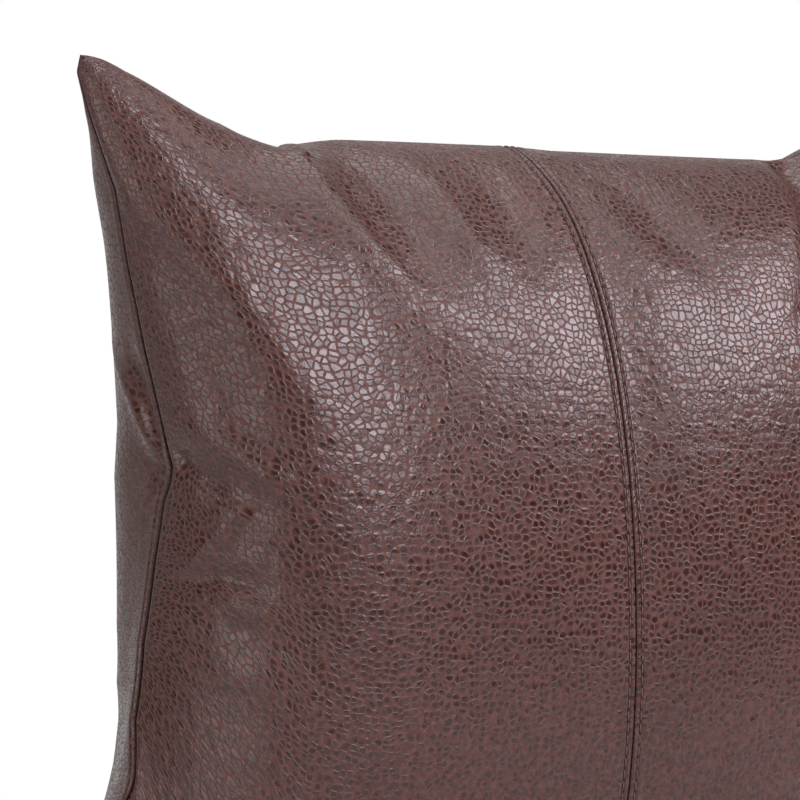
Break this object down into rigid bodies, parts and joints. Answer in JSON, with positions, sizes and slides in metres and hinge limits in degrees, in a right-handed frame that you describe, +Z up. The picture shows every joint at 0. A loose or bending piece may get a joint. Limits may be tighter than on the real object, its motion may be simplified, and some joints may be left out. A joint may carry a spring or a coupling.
{
  "type": "throw pillow",
  "caption": "Square leather throw pillow with a seam down the front, doubled topstitching, a hidden bottom zip and a stuffed insert.",
  "frame": {"origin": "centre of the bounding box, at the floor", "axes": "+X along the width, -Y out of the front, +Z up; the pillow stands on its lower edge"},
  "size_m": [0.424, 0.1844, 0.378],
  "materials": {
    "leather": "pebble-grained brown, satin",
    "thread": "tone-on-tone twisted polyester",
    "tape": "woven brown tape",
    "coil": "brown nylon coil",
    "metal": "antique brass",
    "casing": "plain cotton",
    "fill": "polyester fibre",
    "label": "blank satin ribbon"
  },
  "bodies": {
    "pillow": {"front_left_panel": "leather", "front_right_panel": "leather", "back_panel": "leather", "centre_seam_thread": "thread", "topstitch_left": "thread", "topstitch_right": "thread", "perimeter_seam_thread": "thread", "zipper_stitch_front": "thread", "zipper_stitch_back": "thread", "care_label": "label", "insert_casing_front": "casing", "insert_casing_back": "casing", "insert_fill": "fill", "insert_seam_thread": "thread", "zipper_tape_front": "tape", "zipper_tape_back": "tape", "zipper_coil_front": "coil", "zipper_coil_back": "coil", "zipper_top_stop": "metal", "zipper_bottom_stop": "metal"},
    "zip_slider": {"zipper_slider": "metal"},
    "pull_tab": {"zipper_pull_tab": "metal"}
  },
  "joints": [
    {"name": "zip_slide", "type": "slide", "parent": "pillow", "child": "zip_slider", "axis": [-1, 0, 0], "range_m": [0, 0.284]},
    {"name": "pull_hinge", "type": "hinge", "parent": "zip_slider", "child": "pull_tab", "pos_m": [0.142, 0.06262, 0.02494], "axis": [0, -0.5944, -0.8041], "range_deg": [0, 180]}
  ]
}
